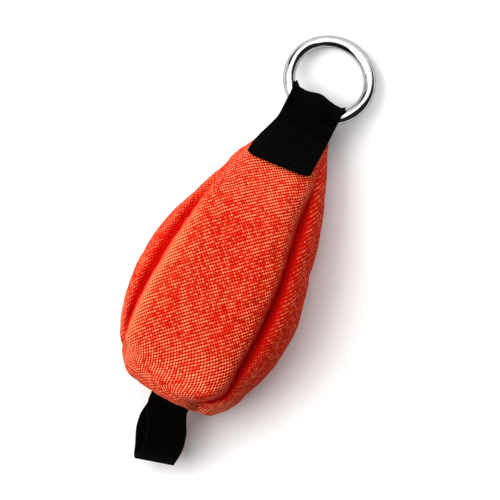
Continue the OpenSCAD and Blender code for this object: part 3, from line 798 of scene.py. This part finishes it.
# ---------------------------------------------------------------- materials
class Nodes:
    """A small helper to write node trees as expressions."""

    def __init__(self, name):
        self.mat = bpy.data.materials.new(name)
        self.mat.use_nodes = True
        self.t = self.mat.node_tree
        self.t.nodes.clear()
        self.out = self.t.nodes.new("ShaderNodeOutputMaterial")
        self.bsdf = self.t.nodes.new("ShaderNodeBsdfPrincipled")
        self.t.links.new(self.bsdf.outputs[0], self.out.inputs[0])

    def put(self, socket, value):
        if isinstance(value, bpy.types.NodeSocket):
            self.t.links.new(value, socket)
        else:
            socket.default_value = value

    def math(self, op, a, b=None, c=None, clamp=False):
        n = self.t.nodes.new("ShaderNodeMath")
        n.operation = op
        n.use_clamp = clamp
        for s, v in zip(n.inputs, (a, b, c)):
            if v is not None:
                self.put(s, v)
        return n.outputs[0]

    def vec(self, x, y, z=0.0):
        n = self.t.nodes.new("ShaderNodeCombineXYZ")
        for s, v in zip(n.inputs, (x, y, z)):
            self.put(s, v)
        return n.outputs[0]

    def attribute(self, name):
        n = self.t.nodes.new("ShaderNodeAttribute")
        n.attribute_name = name
        m = self.t.nodes.new("ShaderNodeSeparateXYZ")
        self.t.links.new(n.outputs["Vector"], m.inputs[0])
        return m.outputs

    def value(self, name):
        n = self.t.nodes.new("ShaderNodeAttribute")
        n.attribute_name = name
        return n.outputs["Fac"]

    def noise(self, vector=None, scale=5.0, detail=2.0, rough=0.5, distortion=0.0):
        n = self.t.nodes.new("ShaderNodeTexNoise")
        if vector is not None:
            self.put(n.inputs["Vector"], vector)
        n.inputs["Scale"].default_value = scale
        n.inputs["Detail"].default_value = detail
        n.inputs["Roughness"].default_value = rough
        n.inputs["Distortion"].default_value = distortion
        return n.outputs[0]

    def object_coords(self):
        return self.t.nodes.new("ShaderNodeTexCoord").outputs["Object"]

    def ramp(self, fac, stops, smooth=False):
        n = self.t.nodes.new("ShaderNodeValToRGB")
        n.color_ramp.interpolation = "B_SPLINE" if smooth else "LINEAR"
        while len(n.color_ramp.elements) < len(stops):
            n.color_ramp.elements.new(1.0)
        for el, (p, col) in zip(n.color_ramp.elements, stops):
            el.position = p
            el.color = (*col, 1.0)
        self.put(n.inputs[0], fac)
        return n.outputs[0]

    def mix(self, fac, a, b, kind="MIX"):
        n = self.t.nodes.new("ShaderNodeMix")
        n.data_type = "RGBA"
        n.blend_type = kind
        self.put(n.inputs["Factor"], fac)
        for name, v in (("A", a), ("B", b)):
            s = [i for i in n.inputs if i.name == name and i.type == "RGBA"][0]
            self.put(s, v if isinstance(v, bpy.types.NodeSocket) else (*v, 1.0))
        return [o for o in n.outputs if o.type == "RGBA"][0]

    def step(self, x, lo, hi):
        n = self.t.nodes.new("ShaderNodeMapRange")
        n.interpolation_type = "SMOOTHSTEP"
        self.put(n.inputs[0], x)
        n.inputs[1].default_value, n.inputs[2].default_value = lo, hi
        n.inputs[3].default_value, n.inputs[4].default_value = 0.0, 1.0
        return n.outputs[0]

    def span(self, x, lo, hi, a, b):
        n = self.t.nodes.new("ShaderNodeMapRange")
        self.put(n.inputs[0], x)
        for i, v in enumerate((lo, hi, a, b)):
            n.inputs[i + 1].default_value = v
        return n.outputs[0]

    def bump(self, height, strength, distance):
        n = self.t.nodes.new("ShaderNodeBump")
        n.inputs["Strength"].default_value = strength
        n.inputs["Distance"].default_value = distance
        self.put(n.inputs["Height"], height)
        self.t.links.new(n.outputs[0], self.bsdf.inputs["Normal"])
        return n.outputs[0]

    def set(self, **values):
        names = {"color": "Base Color", "rough": "Roughness", "metal": "Metallic", "spec": "Specular IOR Level",
                 "sheen": "Sheen Weight", "sheen_rough": "Sheen Roughness", "sheen_tint": "Sheen Tint", "ior": "IOR",
                 "alpha": "Alpha", "coat": "Coat Weight"}
        for k, v in values.items():
            self.put(self.bsdf.inputs[names[k]], (*v, 1.0) if isinstance(v, tuple) else v)
        return self.mat


def fabric():
    n = Nodes("woven_orange")
    A, B, K = n.attribute("yarn")
    M = n.math
    fa, fb = M("FLOOR", A), M("FLOOR", B)
    da, db = M("SUBTRACT", M("FRACT", A), 0.5), M("SUBTRACT", M("FRACT", B), 0.5)
    wave = M("ADD", M("COSINE", M("MULTIPLY", da, 2 * math.pi)), M("COSINE", M("MULTIPLY", db, 2 * math.pi)))
    h = M("MULTIPLY_ADD", wave, 0.25, 0.5)
    cell = n.t.nodes.new("ShaderNodeTexWhiteNoise")
    cell.noise_dimensions = "3D"
    n.put(cell.inputs["Vector"], n.vec(fa, fb, K))
    spot = M("SUBTRACT", cell.outputs[0], 0.5)
    # the light yarn shows as pale streaks on its crowns, more on some lengths of yarn than on others
    nf = n.noise(n.vec(M("MULTIPLY", A, 0.20), M("MULTIPLY", fb, 3.71), M("ADD", K, 31.0)), 1.0, 3.0, 0.62)
    nw = n.noise(n.vec(M("MULTIPLY", fa, 3.71), M("MULTIPLY", B, 0.20), K), 1.0, 3.0, 0.62)
    U, V, seam_shade = n.attribute("flat")
    worn, stretch = n.value("worn"), n.value("stretch")
    cloud = n.noise(n.vec(U, V, K), 0.13, 3.0, 0.6)
    pale = M("ADD", M("ADD", M("MULTIPLY", nf, 0.80), M("MULTIPLY", nw, 0.45)), M("MULTIPLY", spot, 0.75))
    # painted highlight and painted shade: the ridge band and the panel shares of light weft are added to the pale
    # streaks here
    pale = M("ADD", pale, M("MULTIPLY_ADD", M("SUBTRACT", cloud, 0.5), 1.1, M("MULTIPLY_ADD", worn, 0.48, stretch)))
    pale = n.step(pale, 0.20, 1.15)
    foot = M("SUBTRACT", 1.0, n.step(V, 30.0, 37.0))  # the other yarn comes to the top at the foot
    qa = M("DIVIDE", da, M("MULTIPLY_ADD", foot, -0.16, 0.50))
    qb = M("DIVIDE", db, M("MULTIPLY_ADD", foot, 0.26, 0.31))
    streak = n.step(M("SUBTRACT", 1.0, M("ADD", M("MULTIPLY", qa, qa), M("MULTIPLY", qb, qb))), 0.0, 0.80)
    tone = M("ADD", M("MULTIPLY", M("SUBTRACT", nw, 0.5), 1.0), M("MULTIPLY", spot, 0.30))
    body = n.ramp(M("ADD", tone, 0.5), [(0.2, BODY[0]), (0.5, BODY[1]), (0.85, BODY[2])])
    # painted highlight: peach along the front's left seam, where the light falls on the ridge
    body = n.mix(M("MULTIPLY", worn, 0.62), body, (0.80, 0.170, 0.052))
    col = n.mix(M("MULTIPLY", streak, pale), body, FLECK)
    # painted shade: darker red in the gaps between the yarn crowns
    col = n.mix(n.step(h, 0.02, 0.62), GAP_SHADE, col)
    # painted shade: saturated dark red in the seam valleys
    col = n.mix(M("MULTIPLY", seam_shade, 1.0, clamp=True), col, SEAM_SHADE_RED)
    # painted shade: near black in the deepest seam valleys, most along the front-right seam
    col = n.mix(M("MULTIPLY", n.step(seam_shade, 0.85, 1.5), 0.34), col, (0.10, 0.0006, 0.0003))
    n.bump(h, 0.85, 0.00030)
    rough = n.span(tone, -0.3, 0.5, 0.9, 0.74)
    return n.set(color=col, rough=rough, spec=0.07)


BODY = [(0.62, 0.014, 0.003), (0.76, 0.033, 0.008), (0.83, 0.070, 0.018)]
# the second and third colours are painted shade, for the weave gaps and the seam valleys
FLECK, GAP_SHADE, SEAM_SHADE_RED = (0.92, 0.37, 0.185), (0.20, 0.002, 0.0006), (0.56, 0.002, 0.0006)


def webbing(name):
    n = Nodes(name)
    U, V, K = n.attribute("rib")
    M = n.math
    rib = M("ABSOLUTE", M("SINE", M("MULTIPLY", U, math.pi / 0.78)))
    row = M("FLOOR", M("DIVIDE", U, 0.78))
    stag = M("ADD", M("DIVIDE", V, 1.1), M("MULTIPLY", row, 0.5))
    wale = M("ABSOLUTE", M("SINE", M("MULTIPLY", stag, math.pi)))
    h = M("MULTIPLY", M("POWER", rib, 0.7), M("MULTIPLY_ADD", wale, 0.5, 0.5))
    fuzz = n.noise(n.vec(M("MULTIPLY", U, 2.2), M("MULTIPLY", V, 0.35), K), 1.0, 4.0, 0.6)
    tone = M("ADD", M("MULTIPLY", h, 0.6), M("MULTIPLY", fuzz, 0.5))
    col = n.ramp(tone, [(0.1, (0.0004, 0.0004, 0.0005)), (0.6, (0.0009, 0.0010, 0.0012)), (1.0, (0.0034, 0.0036, 0.0042))])
    n.bump(M("ADD", h, M("MULTIPLY", fuzz, 0.25)), 0.6, 0.0002)
    return n.set(color=col, rough=n.span(fuzz, 0.3, 0.7, 0.7, 0.92), spec=0.03)


def thread(name, light, dark):
    n = Nodes(name)
    c = n.object_coords()
    w = n.t.nodes.new("ShaderNodeTexWave")
    n.put(w.inputs["Vector"], c)
    w.inputs["Scale"].default_value = 900.0
    w.inputs["Distortion"].default_value = 1.5
    fz = n.noise(c, 2600.0, 3.0)
    h = n.math("ADD", w.outputs["Fac"], n.math("MULTIPLY", fz, 0.5))
    col = n.ramp(h, [(0.2, dark), (1.1, light)])
    n.bump(h, 0.5, 0.00006)
    return n.set(color=col, rough=n.span(fz, 0.3, 0.7, 0.6, 0.85), spec=0.08)


def steel():
    n = Nodes("polished_steel")
    u, v, _ = n.attribute("wire")
    fine = n.noise(n.vec(n.math("MULTIPLY", u, 0.5), n.math("MULTIPLY", v, 4.0), 0.0), 3.0, 5.0, 0.65)
    wear = n.noise(n.vec(u, v, 3.0), 0.35, 4.0, 0.6)
    col = n.ramp(wear, [(0.35, (0.46, 0.465, 0.47)), (0.65, (0.56, 0.56, 0.565))])
    n.bump(fine, 0.05, 0.00003)
    n.bsdf.inputs["Specular Tint"].default_value = (0.28, 0.28, 0.29, 1.0)
    return n.set(color=col, metal=1.0, rough=n.span(wear, 0.3, 0.7, 0.05, 0.10))


def liner():
    n = Nodes("pouch_cloth")
    c = n.object_coords()
    m = n.t.nodes.new("ShaderNodeSeparateXYZ")
    n.put(m.inputs[0], c)
    a = n.math("SINE", n.math("MULTIPLY", n.math("ADD", m.outputs[0], m.outputs[2]), 7000.0))
    b = n.math("SINE", n.math("MULTIPLY", m.outputs[1], 7000.0))
    h = n.math("MULTIPLY_ADD", n.math("MULTIPLY", a, b), 0.5, 0.5)
    z = n.noise(c, 160.0, 4.0)
    col = n.mix(h, n.ramp(z, [(0.3, (0.45, 0.44, 0.42)), (0.7, (0.62, 0.61, 0.58))]), (0.72, 0.71, 0.68))
    n.bump(h, 0.4, 0.0001)
    return n.set(color=col, rough=n.span(z, 0.3, 0.7, 0.8, 0.95), sheen=0.1)


def pellets():
    n = Nodes("pellets")
    c = n.object_coords()
    vo = n.t.nodes.new("ShaderNodeTexVoronoi")
    n.put(vo.inputs["Vector"], c)
    vo.inputs["Scale"].default_value = 320.0
    d = vo.outputs["Distance"]
    col = n.mix(n.step(d, 0.1, 0.6), n.ramp(n.noise(c, 240.0, 2.0), [(0.3, (0.05, 0.05, 0.055)), (0.7, (0.16, 0.16, 0.17))]), (0.01, 0.01, 0.01))
    n.bump(n.math("SUBTRACT", 1.0, d), 1.0, 0.0008)
    return n.set(color=col, rough=n.span(d, 0.0, 0.6, 0.35, 0.6))


def floor_material():
    n = Nodes("pale_board")
    c = n.object_coords()
    z = n.noise(c, 30.0, 4.0)
    col = n.ramp(z, [(0.3, (0.93, 0.93, 0.93)), (0.7, (0.95, 0.95, 0.95))])
    n.bump(n.noise(c, 900.0, 3.0), 0.05, 0.0001)
    return n.set(color=col, rough=0.6, spec=0.2)


FABRIC, WEB, LOOPWEB = fabric(), webbing("black_webbing_tab"), webbing("black_webbing_loop")
RED, BLACK = thread("red_thread_mat", (0.55, 0.03, 0.012), (0.25, 0.01, 0.004)), thread("black_thread_mat", (0.0035, 0.0035, 0.004), (0.001, 0.001, 0.0012))
STEEL, LINER, PELLETS = steel(), liner(), pellets()


def finish_piece(ob, body, material, slot, *nodes):
    ob.data.materials.clear()
    ob.data.materials.append(material)
    if body:
        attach(ob, body)
    if nodes:
        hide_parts(*nodes)
    return ob


for k, node in enumerate(("front_panel", "right_side_panel", "back_panel", "left_side_panel")):
    ob = panel(k, node + "_cloth")
    finish_piece(ob, "bag", FABRIC, "panel_fabric", node)

finish_piece(inner("pouch_bag", 0.82, 3.2, 15.0), "bag", LINER, "pouch_fabric", "inner_pouch")
finish_piece(inner("pellet_mass", 0.77, 3.7, 14.4), "bag", PELLETS, "pellets", "pellet_fill")
for k, (node, name) in enumerate((("seam_thread_front_left", "thread_front_left"), ("seam_thread_front_right", "thread_front_right"),
                                  ("seam_thread_back_right", "thread_back_right"), ("seam_thread_back_left", "thread_back_left"))):
    finish_piece(seam_thread(k, name), "bag", RED, "red_thread", node)
finish_piece(box_stitches(0, "tab_needle_stitches"), "bag", BLACK, "black_thread", "tab_needle_thread")
finish_piece(box_stitches(2, "tab_bobbin_stitches"), "bag", BLACK, "black_thread", "tab_bobbin_thread")
finish_piece(bottom_stitches("bottom_stitches"), "bag", RED, "red_thread", "bottom_seam_thread")
tab = tab_strip()
finish_piece(tab, None, WEB, "black_webbing", "tab_front_ply", "tab_back_ply", "tab_fold")
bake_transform(tab)
loop = loop_strip()
finish_piece(loop, None, LOOPWEB, "black_webbing", "loop_tails", "bottom_loop")
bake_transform(loop)
finish_piece(ring(), "ring", STEEL, "ring_steel", "o_ring")

for name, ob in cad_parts.items():
    mat = {"inner_pouch": LINER, "pellet_fill": PELLETS, "neck_seam_thread": RED, "bottom_seam_thread": RED,
           "loop_bartack": BLACK, "tab_needle_thread": BLACK, "tab_bobbin_thread": BLACK}.get(name, RED)
    ob.data.materials.clear()
    ob.data.materials.append(mat)

# ---------------------------------------------------------------- floor, light and camera
me = bpy.data.meshes.new("floor")
me.from_pydata([(-7, -7, -0.00005), (7, -7, -0.00005), (7, 7, -0.00005), (-7, 7, -0.00005)], [], [(0, 1, 2, 3)])
floor = bpy.data.objects.new("floor", me)
bpy.context.scene.collection.objects.link(floor)
me.materials.append(floor_material())


def area(name, where, aim, size, power, colour=(1, 1, 1), size_y=None):
    li = bpy.data.lights.new(name, "AREA")
    li.shape = "RECTANGLE"
    li.size = size
    li.size_y = size_y or size
    li.energy = power
    li.color = colour
    ob = bpy.data.objects.new(name, li)
    ob.location = where
    ob.rotation_mode = "QUATERNION"
    ob.rotation_quaternion = (Vector(aim) - Vector(where)).to_track_quat("-Z", "Y")
    bpy.context.scene.collection.objects.link(ob)
    return ob


LEFT = Vector((-0.967, -0.255, 0.0))  # the picture's left, a little up


def toward(deg):
    return Vector((math.cos(math.radians(deg)), math.sin(math.radians(deg)), 0.0))


area("key", toward(208) * 0.90 + Vector((0, 0, 1.10)), (0, 0, 0.02), 1.1, 16.8)
area("top", toward(135) * 1.2 + Vector((0, 0, 3.4)), (0, 0, 0.0), 4.6, 131.0)
area("left_wall", toward(190) * 2.3 + Vector((0, 0, 1.2)), (0, 0, 0.1), 3.2, 21.0, size_y=2.3)
area("far_wall", toward(100) * 2.3 + Vector((0, 0, 1.2)), (0, 0, 0.1), 3.2, 32.0, size_y=2.3)
world = bpy.data.worlds.new("world")
world.use_nodes = True
world.node_tree.nodes["Background"].inputs[0].default_value = (1, 1, 1, 1)
world.node_tree.nodes["Background"].inputs[1].default_value = 0.04
bpy.context.scene.world = world
bpy.context.scene.view_settings.view_transform = "Standard"
bpy.context.scene.view_settings.gamma = 0.86

DIST = 4.0
cam = bpy.data.cameras.new("camera")
cam.sensor_width = 36
cam.lens = 36 * DIST / 0.1825
ob = bpy.data.objects.new("camera", cam)
c27, s27 = math.cos(math.radians(27)), math.sin(math.radians(27))
right, up, back = Vector((c27, s27, 0)), Vector((-s27, c27, 0)), Vector((0, 0, 1))
m = Matrix((right, up, back)).transposed().to_4x4()
m.translation = Vector((0.00295, 0.00068, 0.025 + DIST))
ob.matrix_world = m
bpy.context.scene.collection.objects.link(ob)
bpy.context.scene.camera = ob
